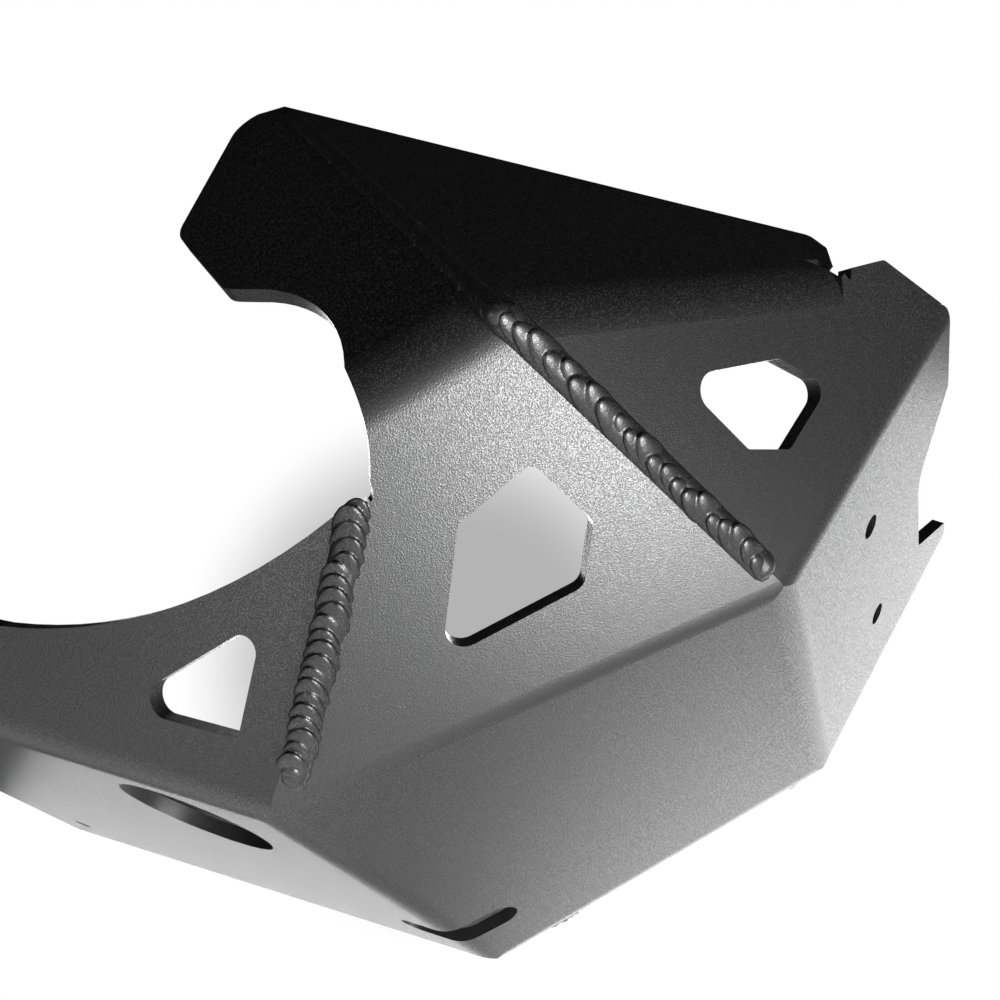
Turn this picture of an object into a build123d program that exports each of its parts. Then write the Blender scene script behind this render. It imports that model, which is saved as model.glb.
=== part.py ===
from build123d import *
from math import radians, sin, cos, tan
import os

# Motorcycle skid plate: one blank of aluminium sheet, laser-cut, folded up into a pan, a slope and a
# nose with side flanges and two tall wings, and welded where the flanges meet.
# Millimetres. +X is forward, +Z up, -Y the vehicle's right-hand side. The pan's outer face is Z = 0 and
# the fold between pan and slope crosses X = 0; only the finished part is moved, to its rear bolt holes.

# Driving dimensions
sheet = 4.0                    # sheet thickness
bend_inside = 10.0             # inside radius of every fold

# centre strip, seen from the side (outer faces)
pan_length = 220.0             # from the first fold back to the rear edge
slope_length = 127.5           # pan fold to nose fold
slope_angle = 40.3             # slope above the horizontal
nose_length = 95.0             # nose fold to the top edge
nose_angle = 73.0              # nose above the horizontal

# half widths of the centre strip at its folds and ends
pan_rear_half = 95.0
pan_front_half = 73.6
nose_fold_half = 56.0
nose_top_half = 54.5

# side flanges: how far each is turned up from its strip
pan_flange_turn = 47.6
slope_flange_turn = 23.8
nose_flange_turn = 28.8

# wings: the rear one stands upright, the front one toes in and leans in
wing_half_width = 140.0
wing_toe_in = 23.2
wing_lean_in = 24.7

# rear wing outline, side view (x, z)
wing_top_rear = (-61.0, 171.8)
wing_top_rise = 2.73            # degrees that the top edge of both wings climbs towards the front
wing_rear_low = (-52.5, 119.0)
wing_heel = (-23.5, 97.5)
wing_corner_radius = 10.0
wing_heel_radius = 8.0
opening_centre = (-15.0, 55.0)  # round of the side opening in the rear wing
opening_radius = 42.0

# pan flanges: top edge as an arc, then a straight, (back from the pan fold, up the flange)
right_edge_arc = ((-19.0, 74.0), (24.9, 44.6), (81.7, 29.3))
right_edge_end = 25.0          # height at the rear edge of the pan
left_edge_arc = ((-19.0, 74.0), (24.9, 50.0), (81.7, 43.0))
left_edge_end = 41.0
flange_end_radius = 14.0

# slope flange: (along the slope fold, up the flange)
slope_flange_edge = ((55.0, 86.0), (54.7, 75.5), (51.0, 63.5))   # bowed rear edge at the side opening
slope_flange_foot = 58.7       # where that edge turns down to the low seam
slope_flange_toe = 50.2
slope_flange_round = 3.0

# nose flange: its corner is measured from the top edge of the nose, and up the flange
nose_corner = (0.5, 0.0)
nose_corner_radius = 8.0
relief_back = 25.2             # bend relief at the front end of the wing, back from the top edge
relief_start = 1.3             # from the end of the wing's fold
relief_width = 1.0
relief_depth = 2.4
relief_radius = 0.4

# flat ear beyond the relief: (back from the top edge, below the relief's height on the flange)
ear_peak = (10.0, 7.8)
ear_foot = (21.0, 1.0)
ear_peak_radius = 3.0
ear_root = 8.0                 # how far the ear runs into the flange

# front wing: its front end, (along the fold from the relief, up the wing)
wing_end_steps = ((1.7, 0.0), (3.1, 5.9), (11.9, 16.0), (14.0, 24.3))
wing_end_radius = 3.0

# nose top: a dip with its left slope longer than its right, heights down from the top edge
dip_floor = 21.5
dip_floor_right, dip_floor_left = -5.0, 29.5
dip_top_right, dip_top_left = -25.5, 45.5
dip_radius_right, dip_radius_left = 14.0, 3.0

# lightening holes, each corner (along the fold, up the flange) in its flange's plane
slope_hole = ((82.6, 53.8), (90.9, 35.8), (84.2, 22.1), (49.2, 19.1), (63.9, 47.6))
slope_hole_rounds = (2.5, 2.5, 3.5, 4.5, 1.5)
nose_hole = ((13.5, 55.2), (38.8, 36.7), (46.2, 20.6), (25.2, 20.3), (16.1, 30.0))
nose_hole_rounds = (4.5, 3.0, 4.0, 2.0, 1.5)
pan_hole = ((33.3, 23.6), (33.3, 16.6), (8.2, 16.6), (2.0, 45.4))
pan_hole_rounds = (4.4, 4.4, 1.5, 3.7)

# bores and cut-outs
nose_bolt_bore = 7.0
nose_bolt_spacing = 48.0
nose_bolt_height = 42.2        # up the nose from its fold
rear_bolt_bore = 7.0
rear_bolt_spacing = 126.0
rear_bolt_inset = 28.0         # from the rear edge
drain_bore = 43.4
drain_x, drain_y = -42.8, -45.1
slot_y = 40.5                  # drain slot across the pan fold
slot_width = 13.0
slot_on_slope = 21.0           # reach up the slope and along the pan
slot_on_pan = 20.0

# weld beads
bead_radius = 3.8
bead_sink = 2.2                # the bead's axis lies this far inside the seam
low_bead_start = 12.0          # from the corner of the pan
low_bead_drift = (2.6, 1.8)    # it starts beside its seam on the slope flange, and ends on the pan flange
front_bead_start = 9.0         # from the corner of the nose fold
left_bead_late = 15.0          # the left-hand low and front beads start this much further along
wing_bead_radius = 2.6
wing_bead_sink = 1.6
wing_bead_end = 8.0            # short of the wing's top edge

# half planes and cutters run past the whole plate, and the inner body runs past the sheet's edges
reach = pan_length + slope_length + nose_length + 2 * wing_half_width
overrun = 5 * sheet
through = 2 * sheet            # half length of a cutter that passes a single panel


# Vectors and planes of the folded blank
slope_dir = Vector(cos(radians(slope_angle)), 0, sin(radians(slope_angle)))
nose_dir = Vector(cos(radians(nose_angle)), 0, sin(radians(nose_angle)))
lateral = Vector(0, 1, 0)
pan_out = Vector(0, 0, -1)
slope_out = Vector(slope_dir.Z, 0, -slope_dir.X)
nose_out = Vector(nose_dir.Z, 0, -nose_dir.X)

nose_fold = slope_dir * slope_length
nose_top = nose_fold + nose_dir * nose_length

pan_corner = Vector(0, -pan_front_half, 0)                     # right-hand corners of the strip
rear_corner = Vector(-pan_length, -pan_rear_half, 0)
fold_corner = nose_fold - lateral * nose_fold_half
top_corner = nose_top - lateral * nose_top_half


def turned_flange(strip_out, start, end, turn):
    """Fold direction, direction up the flange, and outward normal of a right-hand flange."""
    along = (end - start).normalized()
    across = along.cross(strip_out)
    if across.Y > 0:
        across = across * -1
    up = across * cos(radians(turn)) - strip_out * sin(radians(turn))
    out = strip_out * cos(radians(turn)) + across * sin(radians(turn))
    return along, up, out


def panel_plane(origin, along, up):
    """Sketch plane on a panel's outer face: x along its fold, y up the panel."""
    return Plane(origin=origin, x_dir=along, z_dir=along.cross(up))


pan_flange = turned_flange(pan_out, pan_corner, rear_corner, pan_flange_turn)
slope_flange = turned_flange(slope_out, pan_corner, fold_corner, slope_flange_turn)
nose_flange = turned_flange(nose_out, fold_corner, top_corner, nose_flange_turn)

wing_out = lateral * -1
toe, lean = radians(wing_toe_in), radians(wing_lean_in)
front_wing_out = Vector(sin(toe) * cos(lean), -cos(toe) * cos(lean), sin(lean))

# the seam between slope flange and nose flange, followed out to the wing
seam_dir = slope_flange[2].cross(nose_flange[2]).normalized()
if seam_dir.Y > 0:
    seam_dir = seam_dir * -1
shoulder = fold_corner + seam_dir * ((-wing_half_width - fold_corner.Y) / seam_dir.Y)

wing_fold = slope_flange[2].cross(wing_out).normalized()        # slope flange to rear wing
if wing_fold.X < 0:
    wing_fold = wing_fold * -1
front_wing_fold = nose_flange[2].cross(front_wing_out).normalized()
if front_wing_fold.Z < 0:
    front_wing_fold = front_wing_fold * -1
front_wing_up = front_wing_fold.cross(front_wing_out)
if front_wing_up.Z < 0:
    front_wing_up = front_wing_up * -1


# the seam between the wings, followed up to their top edge
top_rise = tan(radians(wing_top_rise))
wing_seam_dir = wing_out.cross(front_wing_out).normalized()
if wing_seam_dir.Z < 0:
    wing_seam_dir = wing_seam_dir * -1
wing_seam_length = (wing_top_rear[1] + (shoulder.X - wing_top_rear[0]) * top_rise - shoulder.Z) / (
    wing_seam_dir.Z - wing_seam_dir.X * top_rise
)
wing_peak = shoulder + wing_seam_dir * wing_seam_length


# The folded sheet
def away_from_fold(along, out, other_out):
    """Direction in one face leading away from its fold with the other face."""
    direction = along.cross(out).normalized()
    return direction if direction.dot(other_out) < 0 else direction * -1


def moved_in(point, out_a, out_b, inset):
    """Where two faces meet once both have moved inwards."""
    return point - (out_a + out_b) * (inset / (1 + out_a.dot(out_b)))


def fold_wedge(inset, point, along, out_a, out_b):
    """Everything behind two folded faces: a long prism with the fold's round on its edge."""
    corner = moved_in(point, out_a, out_b, inset)
    section = Plane(origin=corner, x_dir=away_from_fold(along, out_a, out_b), z_dir=along)
    run_b = away_from_fold(along, out_b, out_a) * reach
    deep = (out_a + out_b).normalized() * -reach
    with BuildPart() as wedge:
        with BuildSketch(section):
            Polygon(
                (0, 0),
                (reach, 0),
                (deep.dot(section.x_dir), deep.dot(section.y_dir)),
                (run_b.dot(section.x_dir), run_b.dot(section.y_dir)),
                align=None,
            )
            fillet(vertices().sort_by_distance((0, 0, 0))[0], bend_inside + sheet - inset)
        extrude(amount=reach, both=True)
    return wedge.part


def strip_body(inset, past_edges):
    """Space above pan and slope and behind the nose, with the two cross folds rounded."""
    first = moved_in(Vector(0, 0, 0), pan_out, slope_out, inset)
    second = moved_in(nose_fold, slope_out, nose_out, inset)
    tip = nose_top - nose_out * inset + nose_dir * past_edges
    rear_x = -pan_length - past_edges
    back = tip - nose_out * ((tip.X - rear_x) / nose_out.X)
    with BuildPart() as body:
        with BuildSketch(Plane.XZ):
            Polygon(
                (rear_x, first.Z),
                (first.X, first.Z),
                (second.X, second.Z),
                (tip.X, tip.Z),
                (back.X, back.Z),
                align=None,
            )
            for corner in (first, second):
                nearest = vertices().sort_by_distance((corner.X, corner.Z, 0))[0]
                fillet(nearest, bend_inside + sheet - inset)
        extrude(amount=wing_half_width + past_edges, both=True)
    return body.part


def side_folds(inset):
    """The four folds of the right-hand side that lie above the pan flange."""
    return (
        fold_wedge(inset, pan_corner, slope_flange[0], slope_out, slope_flange[2]),
        fold_wedge(inset, fold_corner, nose_flange[0], nose_out, nose_flange[2]),
        fold_wedge(inset, shoulder, wing_fold, slope_flange[2], wing_out),
        fold_wedge(inset, shoulder, front_wing_fold, nose_flange[2], front_wing_out),
    )


def folded_body(inset, past_edges):
    """Body bounded by the centre strip, its flanges and its wings, all moved in by the inset."""
    folds = side_folds(inset)
    with BuildPart() as body:
        add(strip_body(inset, past_edges))
        for wedge in folds:
            add(wedge, mode=Mode.INTERSECT)
            add(wedge.mirror(Plane.XZ), mode=Mode.INTERSECT)
    return body.part


outer_body = folded_body(0, 0)
inner_body = folded_body(sheet, overrun)
pan_wedge = fold_wedge(0, pan_corner, pan_flange[0], pan_out, pan_flange[2])
pan_wedge_inner = fold_wedge(sheet, pan_corner, pan_flange[0], pan_out, pan_flange[2])

# the pan flange and the slope flange meet in a straight seam that ends at the side opening
low_seam_dir = pan_flange[2].cross(slope_flange[2]).normalized()
if low_seam_dir.Z < 0:
    low_seam_dir = low_seam_dir * -1
seam_top = pan_corner + low_seam_dir * (slope_flange_foot / low_seam_dir.dot(slope_flange[1]))


# Outlines cut in the blank, each on its own panel
def panel_cutter(plane, outline, rounds, depth):
    """Prism through a panel: an outline in the panel's plane, each corner rounded."""
    with BuildPart() as cutter:
        with BuildSketch(plane):
            Polygon(*outline, align=None)
            for point, radius in zip(outline, rounds):
                if radius:
                    fillet(vertices().sort_by_distance((*point, 0))[0], radius)
        extrude(amount=depth, both=True)
    return cutter.part


pan_flange_plane = panel_plane(pan_corner, pan_flange[0], pan_flange[1])
slope_flange_plane = panel_plane(pan_corner, slope_flange[0], slope_flange[1])
nose_flange_plane = panel_plane(fold_corner, nose_flange[0], nose_flange[1])
front_wing_plane = panel_plane(shoulder, front_wing_fold, front_wing_up)
rear_wing_plane = Plane(origin=(0, -wing_half_width, 0), x_dir=(1, 0, 0), z_dir=(0, -1, 0))
nose_plane = Plane(origin=nose_top, x_dir=lateral, z_dir=nose_out)
slope_plane = Plane(origin=(0, 0, 0), x_dir=lateral, z_dir=slope_out)
pan_plane = Plane(origin=(0, 0, 0), x_dir=lateral, z_dir=pan_out)

slope_hole_cut = panel_cutter(slope_flange_plane, slope_hole, slope_hole_rounds, through)
nose_hole_cut = panel_cutter(nose_flange_plane, nose_hole, nose_hole_rounds, through)
pan_hole_cut = panel_cutter(pan_flange_plane, pan_hole, pan_hole_rounds, through)

# side opening: a quarter round in the rear wing, a bowed edge and a round foot in the slope flange
round_top = (opening_centre[0], opening_centre[1] + opening_radius)
round_front = (opening_centre[0] + opening_radius, opening_centre[1])
round_mid = Vector(*opening_centre) + Vector(1, 1).normalized() * opening_radius
with BuildPart() as wing_cut:
    with BuildSketch(rear_wing_plane):
        with BuildLine():
            ThreePointArc(round_top, (round_mid.X, round_mid.Y), round_front)
            Polyline(
                round_front,
                (round_front[0], 0),
                (-reach, 0),
                (-reach, reach),
                (nose_fold.X, reach),
                (nose_fold.X, wing_top_rear[1] + (nose_fold.X - wing_top_rear[0]) * top_rise),
                wing_top_rear,
                wing_rear_low,
                wing_heel,
                round_top,
            )
        make_face()
        for corner, radius in (
            (wing_top_rear, wing_corner_radius),
            (wing_rear_low, wing_corner_radius),
            (wing_heel, wing_heel_radius),
        ):
            fillet(vertices().sort_by_distance((*corner, 0))[0], radius)
    extrude(amount=bend_inside + sheet, both=True)

with BuildPart() as flange_rear_cut:
    with BuildSketch(slope_flange_plane):
        with BuildLine():
            ThreePointArc(*slope_flange_edge)
            Polyline(
                slope_flange_edge[-1],
                (slope_flange_toe, slope_flange_foot),
                (0, slope_flange_foot),
                (0, reach),
                (slope_flange_edge[0][0], reach),
                slope_flange_edge[0],
            )
        make_face()
        fillet(
            vertices().sort_by_distance((slope_flange_toe, slope_flange_foot, 0))[0],
            slope_flange_round,
        )
    extrude(amount=through, both=True)

# front wing: its top edge runs on from the rear wing's, its front end stops at the bend relief
shoulder_local = nose_flange_plane.to_local_coords(shoulder)
fold_local = nose_flange_plane.to_local_coords(shoulder + front_wing_fold) - shoulder_local
relief_along = (nose_length - relief_back - shoulder_local.X) / fold_local.X
relief = shoulder_local + fold_local * relief_along
end_steps = tuple((relief_along + along, up) for along, up in wing_end_steps)
peak_local = front_wing_plane.to_local_coords(wing_peak)
beyond = (2 * peak_local.X - end_steps[-1][0], 2 * peak_local.Y - end_steps[-1][1])
front_wing_cut = panel_cutter(
    front_wing_plane,
    (
        (relief_along, -bend_inside),
        *end_steps,
        beyond,
        (beyond[0], reach),
        (reach, reach),
        (reach, -bend_inside),
    ),
    (0, 0, wing_end_radius, wing_end_radius, wing_end_radius, 0, 0, 0, 0),
    through,
)

# the nose flange runs on past the bend relief as a flat ear
nose_flat = 1.1 * (bend_inside + sheet) * tan(radians(nose_flange_turn / 2))
corner_at = (nose_length + nose_corner[0], nose_corner[1])
peak_at = (nose_length - ear_peak[0], relief.Y - ear_peak[1])
foot_at = (nose_length - ear_foot[0], relief.Y - ear_foot[1])
with BuildPart() as ear:
    with BuildSketch(nose_flange_plane):
        Polygon(
            (relief.X - ear_root, nose_flat),
            (corner_at[0], nose_flat),
            peak_at,
            foot_at,
            (relief.X, relief.Y),
            (relief.X - ear_root, relief.Y - ear_root),
            align=None,
        )
    extrude(amount=sheet, dir=nose_flange[2] * -1)
ear_cut = panel_cutter(
    nose_flange_plane,
    (
        (corner_at[0], -wing_half_width),
        corner_at,
        peak_at,
        foot_at,
        (foot_at[0], wing_half_width),
        (reach, wing_half_width),
        (reach, -wing_half_width),
    ),
    (0, nose_corner_radius, ear_peak_radius, 0, 0, 0, 0),
    sheet + relief_radius,
)
relief_cut = panel_cutter(
    nose_flange_plane,
    (
        (relief.X + relief_start, relief.Y + through),
        (relief.X + relief_start, relief.Y - relief_depth),
        (relief.X + relief_start + relief_width, relief.Y - relief_depth),
        foot_at,
        (foot_at[0] + relief_width, relief.Y + through),
    ),
    (0, relief_radius, relief_radius, 0, 0),
    through,
)

# nose top dip
nose_dip_cut = panel_cutter(
    nose_plane,
    (
        (dip_top_left, 0),
        (dip_floor_left, -dip_floor),
        (dip_floor_right, -dip_floor),
        (dip_top_right, 0),
        (dip_top_right, dip_floor),
        (dip_top_left, dip_floor),
    ),
    (0, dip_radius_left, dip_radius_right, 0, 0, 0),
    through,
)

# pan flanges, folded up from the pan, each outlined in its own plane
flange_length = (rear_corner - pan_corner).length


def pan_flange_piece(edge_arc, edge_end):
    """A right-hand pan flange with a strip of the pan, under the given top edge."""
    with BuildPart() as piece:
        add(pan_wedge)
        add(pan_wedge_inner, mode=Mode.SUBTRACT)
        add(outer_body, mode=Mode.INTERSECT)
        with BuildSketch(pan_flange_plane):
            with BuildLine():
                ThreePointArc(*edge_arc)
                Polyline(
                    edge_arc[-1],
                    (flange_length + overrun, edge_end),
                    (flange_length + overrun, -pan_front_half),
                    (-pan_front_half, -pan_front_half),
                    (-pan_front_half, edge_arc[0][1]),
                    edge_arc[0],
                )
            make_face()
        extrude(amount=pan_front_half, both=True, mode=Mode.INTERSECT)
        end_corner = pan_flange_plane.from_local_coords((flange_length, edge_end, 0))
        end_edge = edges().filter_by(lambda e: e.length < 1.5 * sheet).sort_by_distance(end_corner)[0]
        fillet(end_edge, flange_end_radius)
    return piece.part


right_flange = pan_flange_piece(right_edge_arc, right_edge_end)
left_flange = pan_flange_piece(left_edge_arc, left_edge_end).mirror(Plane.XZ)


# Weld beads
def bead(start, end, out_a, out_b, cavity, r=bead_radius, sink=bead_sink):
    """Round-ended rod sunk in the seam of two faces and cleared from inside the plate."""
    along = end - start
    origin = start - (out_a + out_b).normalized() * sink
    section = Plane(origin=origin, x_dir=along, z_dir=along.cross(out_a))
    length = along.length
    mid = r * cos(radians(45))
    with BuildPart() as rod:
        with BuildSketch(section):
            with BuildLine():
                ThreePointArc((-r, 0), (-mid, mid), (0, r))
                Line((0, r), (length, r))
                ThreePointArc((length, r), (length + mid, mid), (length + r, 0))
                Line((length + r, 0), (-r, 0))
            make_face()
        revolve(axis=Axis(section.origin, section.x_dir))
        add(cavity, mode=Mode.SUBTRACT)
    return rod.part


onto_slope = away_from_fold(low_seam_dir, slope_flange[2], pan_flange[2])
onto_pan = away_from_fold(low_seam_dir, pan_flange[2], slope_flange[2])


def low_bead(late):
    """Bead of the pan flange and the slope flange; it crosses its seam as it climbs."""
    return bead(
        pan_corner + low_seam_dir * (low_bead_start + late) + onto_slope * low_bead_drift[0],
        seam_top - low_seam_dir * bead_radius + onto_pan * low_bead_drift[1],
        pan_flange[2], slope_flange[2], inner_body.intersect(pan_wedge_inner),
    )


def front_bead(late):
    """Bead of the slope flange and the nose flange."""
    return bead(
        fold_corner + seam_dir * (front_bead_start + late), shoulder - seam_dir * bead_radius,
        slope_flange[2], nose_flange[2], inner_body,
    )


wing_bead = bead(
    shoulder, shoulder + wing_seam_dir * (wing_seam_length - wing_bead_end),
    wing_out, front_wing_out, inner_body, wing_bead_radius, wing_bead_sink,
)

# The plate
with BuildPart() as zone:      # what lies outside the pan flange, up to the side opening
    with BuildSketch(Plane.XZ):
        Polygon(
            (-reach, -overrun),
            (nose_fold.X, -overrun),
            (nose_fold.X, seam_top.Z),
            (-reach, seam_top.Z),
            align=None,
        )
    extrude(amount=reach)
    add(pan_wedge, mode=Mode.SUBTRACT)

with BuildPart() as skid_plate:
    add(outer_body)
    add(inner_body, mode=Mode.SUBTRACT)
    for cutter in (zone.part, wing_cut.part, flange_rear_cut.part, front_wing_cut):
        add(cutter, mode=Mode.SUBTRACT)
        add(cutter.mirror(Plane.XZ), mode=Mode.SUBTRACT)
    add(right_flange)
    add(left_flange)
    for piece in (ear.part, wing_bead):
        add(piece)
        add(piece.mirror(Plane.XZ))
    for seam_bead in (low_bead, front_bead):
        add(seam_bead(0))
        add(seam_bead(left_bead_late).mirror(Plane.XZ))
    for cutter in (ear_cut, relief_cut, slope_hole_cut, nose_hole_cut):
        add(cutter, mode=Mode.SUBTRACT)
        add(cutter.mirror(Plane.XZ), mode=Mode.SUBTRACT)
    add(pan_hole_cut, mode=Mode.SUBTRACT)          # only the right-hand pan flange has this hole
    add(nose_dip_cut, mode=Mode.SUBTRACT)

    # bolt holes through the nose and through the rear of the pan
    with BuildSketch(Plane(origin=nose_fold + nose_dir * nose_bolt_height, x_dir=lateral, z_dir=nose_out)):
        with GridLocations(nose_bolt_spacing, 0, 2, 1):
            Circle(nose_bolt_bore / 2)
    extrude(amount=through, both=True, mode=Mode.SUBTRACT)
    with BuildSketch(pan_plane):
        with Locations((0, -pan_length + rear_bolt_inset)):
            with GridLocations(rear_bolt_spacing, 0, 2, 1):
                Circle(rear_bolt_bore / 2)
        with Locations((drain_y, drain_x)):
            Circle(drain_bore / 2)
    extrude(amount=through, both=True, mode=Mode.SUBTRACT)

    # drain slot, run over the fold between pan and slope
    for plane, length in ((slope_plane, slot_on_slope), (pan_plane, -slot_on_pan)):
        with BuildSketch(plane):
            end = length - slot_width / 2 if length > 0 else length + slot_width / 2
            with Locations((slot_y, end / 2)):
                Rectangle(slot_width, abs(end))
            with Locations((slot_y, end)):
                Circle(slot_width / 2)
        extrude(amount=through, both=True, mode=Mode.SUBTRACT)

# the finished part's origin lies midway between the rear bolt holes, on the pan's outer face
finished = skid_plate.part.moved(Location((pan_length - rear_bolt_inset, 0, 0)))
finished.label = "skid_plate"
os.makedirs("parts", exist_ok=True)
export_step(finished, "parts/skid_plate.step")
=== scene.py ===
import math
import random

import bpy
from mathutils import Matrix, Vector


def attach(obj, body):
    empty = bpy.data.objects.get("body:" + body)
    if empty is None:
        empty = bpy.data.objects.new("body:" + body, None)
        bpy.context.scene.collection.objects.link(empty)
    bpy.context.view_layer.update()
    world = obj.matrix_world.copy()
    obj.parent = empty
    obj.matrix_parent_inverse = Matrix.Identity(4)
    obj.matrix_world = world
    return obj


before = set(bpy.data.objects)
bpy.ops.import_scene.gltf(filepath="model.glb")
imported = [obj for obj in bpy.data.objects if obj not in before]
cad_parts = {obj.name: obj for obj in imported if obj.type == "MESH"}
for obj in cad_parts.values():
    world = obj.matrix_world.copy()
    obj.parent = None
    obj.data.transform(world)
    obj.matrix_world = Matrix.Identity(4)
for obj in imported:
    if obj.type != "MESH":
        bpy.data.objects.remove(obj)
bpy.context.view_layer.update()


# The skid plate: 4 mm aluminium sheet, laser-cut, folded and welded, then powder coated all over.
# The coat is a fine-textured matte black polyester: it takes broad soft highlights that break up into
# fine bright grains, and it turns pale only where it is seen at a shallow angle.
MM = 0.001
COAT_BLACK = "#050505"
COAT_GRAIN = "#2b2b2c"
COAT_IOR = 1.5
GRAIN_MM = 0.31                 # size of one grain of the coat's texture
GRAIN_DEPTH, GRAIN_BUMP = 0.07, 0.6
GRAIN_TIPS = (0.46, 0.72)       # noise from which a grain pales, and at which it is palest
PEEL_MM = 2.6                   # the slower waviness under the grain
PEEL_DEPTH, PEEL_BUMP = 0.05, 0.3
COAT_ROUGH, COAT_SMOOTH = 0.48, 0.27   # the hollows between the grains, and the glossier grains
GLOSS_STEP = (0.35, 0.65)       # noise over which the one turns into the other


def linear(colour):
    """A colour written as sRGB hex, as the linear values that a shader takes."""
    parts = [int(colour[i:i + 2], 16) / 255 for i in (1, 3, 5)]
    return tuple(c / 12.92 if c <= 0.04045 else ((c + 0.055) / 1.055) ** 2.4 for c in parts) + (1.0,)


def node(tree, kind, settings=None, **inputs):
    """Adds a node with its settings. An input is a value, or an output that is linked to it."""
    made = tree.nodes.new(kind)
    for name, value in (settings or {}).items():
        setattr(made, name, value)
    for name, value in inputs.items():
        numbered = name[0] == "i" and name[1:].isdigit()
        socket = made.inputs[int(name[1:]) if numbered else name]
        if isinstance(value, bpy.types.NodeSocket):
            tree.links.new(value, socket)
        else:
            socket.default_value = value
    return made


def new_material(name):
    """An empty node material, its tree and its output node."""
    made = bpy.data.materials.new(name)
    made.use_nodes = True
    made.node_tree.nodes.clear()
    return made, made.node_tree, made.node_tree.nodes.new("ShaderNodeOutputMaterial")


powder_coat, tree, output = new_material("powder_coat_matte_black")
place = node(tree, "ShaderNodeTexCoord").outputs["Object"]
grain = node(tree, "ShaderNodeTexNoise", Vector=place, Scale=1 / (GRAIN_MM * MM), Detail=0.0)
peel = node(tree, "ShaderNodeTexNoise", Vector=place, Scale=1 / (PEEL_MM * MM), Detail=1.0)
grain_tip = node(
    tree, "ShaderNodeMapRange", Value=grain.outputs["Fac"], i1=GRAIN_TIPS[0], i2=GRAIN_TIPS[1],
)
grain_tone = node(
    tree, "ShaderNodeMix", {"data_type": "RGBA"}, i0=grain_tip.outputs["Result"],
    i6=linear(COAT_BLACK), i7=linear(COAT_GRAIN),
)
peel_bump = node(
    tree, "ShaderNodeBump", Height=peel.outputs["Fac"], Distance=PEEL_DEPTH * MM, Strength=PEEL_BUMP,
)
grain_bump = node(
    tree, "ShaderNodeBump", Height=grain.outputs["Fac"], Normal=peel_bump.outputs["Normal"],
    Distance=GRAIN_DEPTH * MM, Strength=GRAIN_BUMP,
)
gloss = node(
    tree, "ShaderNodeMapRange", Value=grain.outputs["Fac"], i1=GLOSS_STEP[0], i2=GLOSS_STEP[1],
    i3=COAT_ROUGH, i4=COAT_SMOOTH,
)
coat = node(
    tree, "ShaderNodeBsdfPrincipled", IOR=COAT_IOR, Roughness=gloss.outputs["Result"],
    Normal=grain_bump.outputs["Normal"],
)
tree.links.new(grain_tone.outputs["Result"], coat.inputs["Base Color"])
tree.links.new(coat.outputs["BSDF"], output.inputs["Surface"])

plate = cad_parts["skid_plate"]
plate.data.materials.clear()
plate.data.materials.append(powder_coat)


# Weld beads: laid by hand with filler rod along the outside of each seam before the plate was coated,
# so the same coat runs over them. Each dab of the rod froze as one round ripple, lapped over the last.
# The beads start near the plate's corners and climb to the wings, whose own are dressed nearly flat.
RIPPLE_SEGMENTS = 24
RIPPLE_RINGS = 16
BEAD_CUT = 2.7                  # mm inside the seam, where the bead's hidden half ends in the sheet
BEAD_VOXEL = 0.24               # mm, the mesh on which the ripples are fused
BEAD_SETTLE = (0.5, 2)          # how strongly and how often that mesh is smoothed
BEAD_CREASE = 50                # degrees, past which an edge between ripples stays sharp
BEAD_TIP = 0.9                  # size of the first and last ripple against the others
BEAD_UNEVEN = 0.08              # share by which ripples differ in size
BEAD_DRIFT = 0.20               # mm by which they miss their line
BEAD_TURN = 8                   # degrees by which they lie askew


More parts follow.
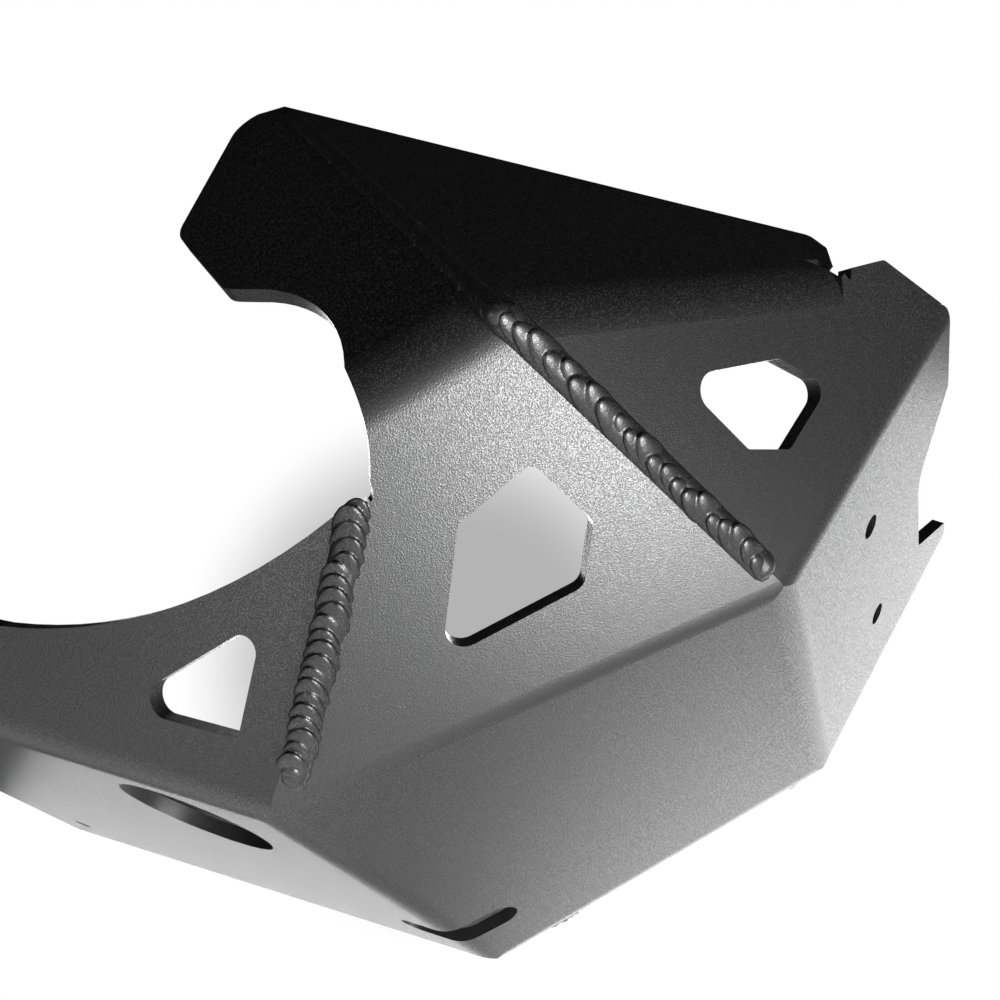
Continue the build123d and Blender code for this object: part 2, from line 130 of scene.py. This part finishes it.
def lapped_ripples(name, start, end, out, sink, half_width, height, thickness, pitch, lean, seed):
    """A bead of leaning round ripples from start to end, with a flat cut inside the sheet."""
    luck = random.Random(seed)
    start, end = Vector(start) * MM, Vector(end) * MM
    along = (end - start).normalized()
    out = Vector(out)
    out = (out - along * along.dot(out)).normalized()
    across = along.cross(out)
    turned = Matrix((across, along, out)).transposed().to_4x4()
    tilt = Matrix.Rotation(-math.radians(lean), 4, "X")
    reach = height / math.cos(math.radians(lean))

    bpy.ops.object.select_all(action="DESELECT")
    bpy.ops.mesh.primitive_uv_sphere_add(segments=RIPPLE_SEGMENTS, ring_count=RIPPLE_RINGS, radius=MM)
    blank = bpy.context.object
    bpy.ops.object.mode_set(mode="EDIT")
    bpy.ops.mesh.select_all(action="SELECT")
    bpy.ops.transform.resize(value=(half_width, thickness, reach))
    bpy.ops.object.mode_set(mode="OBJECT")

    count = round((end - start).length / (pitch * MM))
    ripples = []
    for step in range(count + 1):
        size = 1 + luck.uniform(-BEAD_UNEVEN, BEAD_UNEVEN)
        if step in (0, count):
            size *= BEAD_TIP
        centre = start.lerp(end, step / count) - out * sink * MM
        centre += across * luck.uniform(-BEAD_DRIFT, BEAD_DRIFT) * MM
        centre += along * luck.uniform(-BEAD_DRIFT, BEAD_DRIFT) * MM
        yaw = Matrix.Rotation(math.radians(luck.uniform(-BEAD_TURN, BEAD_TURN)), 4, "Z")
        ripple = blank.copy()
        ripple.data = blank.data.copy()
        ripple.data.transform(Matrix.Translation(centre) @ turned @ yaw @ tilt @ Matrix.Scale(size, 4))
        bpy.context.scene.collection.objects.link(ripple)
        ripples.append(ripple)
    bpy.data.objects.remove(blank)

    bpy.ops.object.select_all(action="DESELECT")
    for ripple in ripples:
        ripple.select_set(True)
    bead = bpy.context.view_layer.objects.active = ripples[0]
    bpy.ops.object.join()
    bead.name = name
    fuse = bead.modifiers.new("fuse", "REMESH")
    fuse.mode, fuse.voxel_size = "VOXEL", BEAD_VOXEL * MM
    bpy.ops.object.modifier_apply(modifier=fuse.name)
    settle = bead.modifiers.new("settle", "SMOOTH")
    settle.factor, settle.iterations = BEAD_SETTLE
    bpy.ops.object.modifier_apply(modifier=settle.name)
    bpy.ops.object.mode_set(mode="EDIT")
    bpy.ops.mesh.select_all(action="SELECT")
    bpy.ops.mesh.bisect(
        plane_co=start - out * BEAD_CUT * MM, plane_no=out, use_fill=True, clear_inner=True,
    )
    bpy.ops.object.mode_set(mode="OBJECT")
    bpy.ops.object.shade_smooth_by_angle(angle=math.radians(BEAD_CREASE))
    bead.data.materials.clear()
    bead.data.materials.append(powder_coat)
    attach(bead, "root")


def other_side(point):
    """A place or a direction on the right-hand side, mirrored to the left."""
    return (point[0], -point[1], point[2])


LOW_BEAD = ((196.8, -76.4, 6.2), (215.2, -117.5, 50.3))        # mm: its line, lower end first
LOW_BEAD_LEFT = (201.9, 85.2, 16.4)                            # the left-hand one starts further up
LOW_BEAD_OUT = (0.373, -0.600, -0.707)                         # the way it faces
FRONT_BEAD = ((286.7, -60.6, 82.8), (247.8, -131.1, 88.2))
FRONT_BEAD_LEFT = (279.5, 73.7, 83.8)
FRONT_BEAD_OUT = (0.758, -0.453, -0.469)
WING_BEAD = ((243.0, -140.0, 88.9), (151.5, -140.0, 167.3))
WING_BEAD_OUT = (0.187, -0.958, 0.218)

# mm: the depth of a ripple's middle under that line, and the ripple's sizes and spacing; degrees: its lean
low_form = dict(sink=2.2, half_width=4.1, height=4.75, thickness=1.6, pitch=3.0, lean=60)
front_form = dict(sink=2.2, half_width=3.5, height=4.5, thickness=1.8, pitch=4.0, lean=66)
wing_form = dict(sink=1.6, half_width=2.75, height=2.15, thickness=1.2, pitch=2.2, lean=45)

lapped_ripples("weld_low_right", *LOW_BEAD, LOW_BEAD_OUT, seed=3, **low_form)
lapped_ripples(
    "weld_low_left", LOW_BEAD_LEFT, other_side(LOW_BEAD[1]), other_side(LOW_BEAD_OUT),
    seed=4, **low_form,
)
lapped_ripples("weld_front_right", *FRONT_BEAD, FRONT_BEAD_OUT, seed=5, **front_form)
lapped_ripples(
    "weld_front_left", FRONT_BEAD_LEFT, other_side(FRONT_BEAD[1]), other_side(FRONT_BEAD_OUT),
    seed=6, **front_form,
)
lapped_ripples("weld_wing_right", *WING_BEAD, WING_BEAD_OUT, seed=7, **wing_form)
lapped_ripples(
    "weld_wing_left", other_side(WING_BEAD[0]), other_side(WING_BEAD[1]), other_side(WING_BEAD_OUT),
    seed=8, **wing_form,
)


# Floor: one plain sheet of white paper, far enough below the plate to let the camera look up at the
# underside. The camera sees it as plain white, as it sees the backdrop.
FLOOR_WHITE = "#f4f4f4"
SEEN_WHITE = "#ffffff"
FLOOR_DROP = 0.75
FLOOR_SIZE = 14.0
FLOOR_MIDDLE = 0.15             # m ahead of the rear bolt holes, under the plate's middle

bpy.ops.object.select_all(action="DESELECT")
bpy.ops.mesh.primitive_plane_add(size=FLOOR_SIZE, location=(0, 0, 0))
floor = bpy.context.object
floor.name = "floor"
floor.data.transform(Matrix.Translation((FLOOR_MIDDLE, 0, -FLOOR_DROP)))
floor_paper, tree, output = new_material("floor_white_paper")
seen = node(tree, "ShaderNodeLightPath")
paper = node(tree, "ShaderNodeBsdfDiffuse", Color=linear(FLOOR_WHITE))
white = node(tree, "ShaderNodeEmission", Color=linear(SEEN_WHITE), Strength=1.0)
pick = node(
    tree, "ShaderNodeMixShader", i0=seen.outputs["Is Camera Ray"], i1=paper.outputs[0], i2=white.outputs[0],
)
tree.links.new(pick.outputs[0], output.inputs["Surface"])
floor.data.materials.append(floor_paper)


# Backdrop: a white room to the camera, with one soft grey patch of painted shade behind the plate's middle.
# What lights the plate is nearly dark but for the lamps, as a matte black coat under a white room turns grey.
# painted shade on the backdrop: its grey, the direction it lies in, and how wide it is
SHADE_GREY = "#b4b4b4"
SHADE_TOWARDS = (-0.484, 0.809, 0.334)
SHADE_CORE, SHADE_WIDE = 7.5, 16.0     # degrees around that direction: full grey, and white again
ROOM_LIGHT = 0.004

world = bpy.context.scene.world or bpy.data.worlds.new("studio")
bpy.context.scene.world = world
world.use_nodes = True
tree = world.node_tree
tree.nodes.clear()
seen = node(tree, "ShaderNodeLightPath")
facing = node(
    tree, "ShaderNodeVectorMath", {"operation": "DOT_PRODUCT"},
    i0=node(tree, "ShaderNodeTexCoord").outputs["Generated"], i1=SHADE_TOWARDS,
)
shade = node(
    tree, "ShaderNodeMapRange", {"interpolation_type": "SMOOTHSTEP"}, Value=facing.outputs["Value"],
    i1=math.cos(math.radians(SHADE_WIDE)), i2=math.cos(math.radians(SHADE_CORE)),
)
tone = node(
    tree, "ShaderNodeMix", {"data_type": "RGBA"}, i0=shade.outputs["Result"],
    i6=linear(SEEN_WHITE), i7=linear(SHADE_GREY),
)
backdrop = node(tree, "ShaderNodeBackground", Color=tone.outputs["Result"], Strength=1.0)
room = node(tree, "ShaderNodeBackground", Color=linear(SEEN_WHITE), Strength=ROOM_LIGHT)
pick = node(
    tree, "ShaderNodeMixShader", i0=seen.outputs["Is Camera Ray"], i1=room.outputs[0], i2=backdrop.outputs[0],
)
node(tree, "ShaderNodeOutputWorld", Surface=pick.outputs[0])


# Lamps: large soft boxes. The key stands low in front and lights the underside, a wide white panel
# beyond the left side gives the shallow reflections, and weaker ones fill the rest.
PLATE_MIDDLE = (0.19, 0.0, 0.07)


def soft_box(name, direction, distance, width, height, power):
    """An area lamp that hangs in one direction from the plate's middle, and faces it."""
    data = bpy.data.lights.new(name, "AREA")
    data.shape, data.size, data.size_y, data.energy = "RECTANGLE", width, height, power
    lamp = bpy.data.objects.new(name, data)
    lamp.location = Vector(PLATE_MIDDLE) + Vector(direction).normalized() * distance
    lamp.rotation_euler = Vector(direction).to_track_quat("Z", "Y").to_euler()
    lamp.visible_camera = False
    bpy.context.scene.collection.objects.link(lamp)


soft_box("key_low_front", (0.69, -0.15, -0.33), 0.78, 0.38, 0.50, 19.0)
soft_box("panel_left_back", (-0.14, 0.90, 0.23), 0.96, 2.1, 1.14, 27.5)
soft_box("panel_left_low", (0.20, 0.90, -0.32), 0.96, 0.70, 0.20, 0.7)
soft_box("fill_low_right", (-0.32, -0.61, -0.60), 0.91, 0.40, 0.40, 1.6)
soft_box("fill_behind", (-0.50, 0.70, 0.50), 1.1, 0.8, 0.8, 18.0)


# Camera: low on the right-hand side in front of the plate, looking up at it as the photograph does.
# It lies a little below the pan's plane, about one plate's length away.
CAMERA_AT = (0.32738, -0.25055, -0.02896)
CAMERA_RIGHT = (0.88859, 0.33353, 0.31490)
CAMERA_DOWN = (0.06835, 0.58256, -0.80991)
CAMERA_SENSOR = 36.0
CAMERA_LENS = 33.68
CAMERA_SHIFT = (-0.00198, 0.00015)
CAMERA_SEES = (0.01, 50.0)      # m, the nearest and the farthest

right, down = Vector(CAMERA_RIGHT).normalized(), Vector(CAMERA_DOWN)
down = (down - right * down.dot(right)).normalized()
back = right.cross(down) * -1
camera_data = bpy.data.cameras.new("camera")
camera_data.sensor_width = CAMERA_SENSOR
camera_data.lens = CAMERA_LENS
camera_data.shift_x, camera_data.shift_y = CAMERA_SHIFT
camera_data.clip_start, camera_data.clip_end = CAMERA_SEES
camera = bpy.data.objects.new("camera", camera_data)
camera.matrix_world = Matrix.Translation(CAMERA_AT) @ Matrix((right, -down, back)).transposed().to_4x4()
bpy.context.scene.collection.objects.link(camera)
bpy.context.scene.camera = camera
bpy.context.scene.view_settings.view_transform = "Standard"
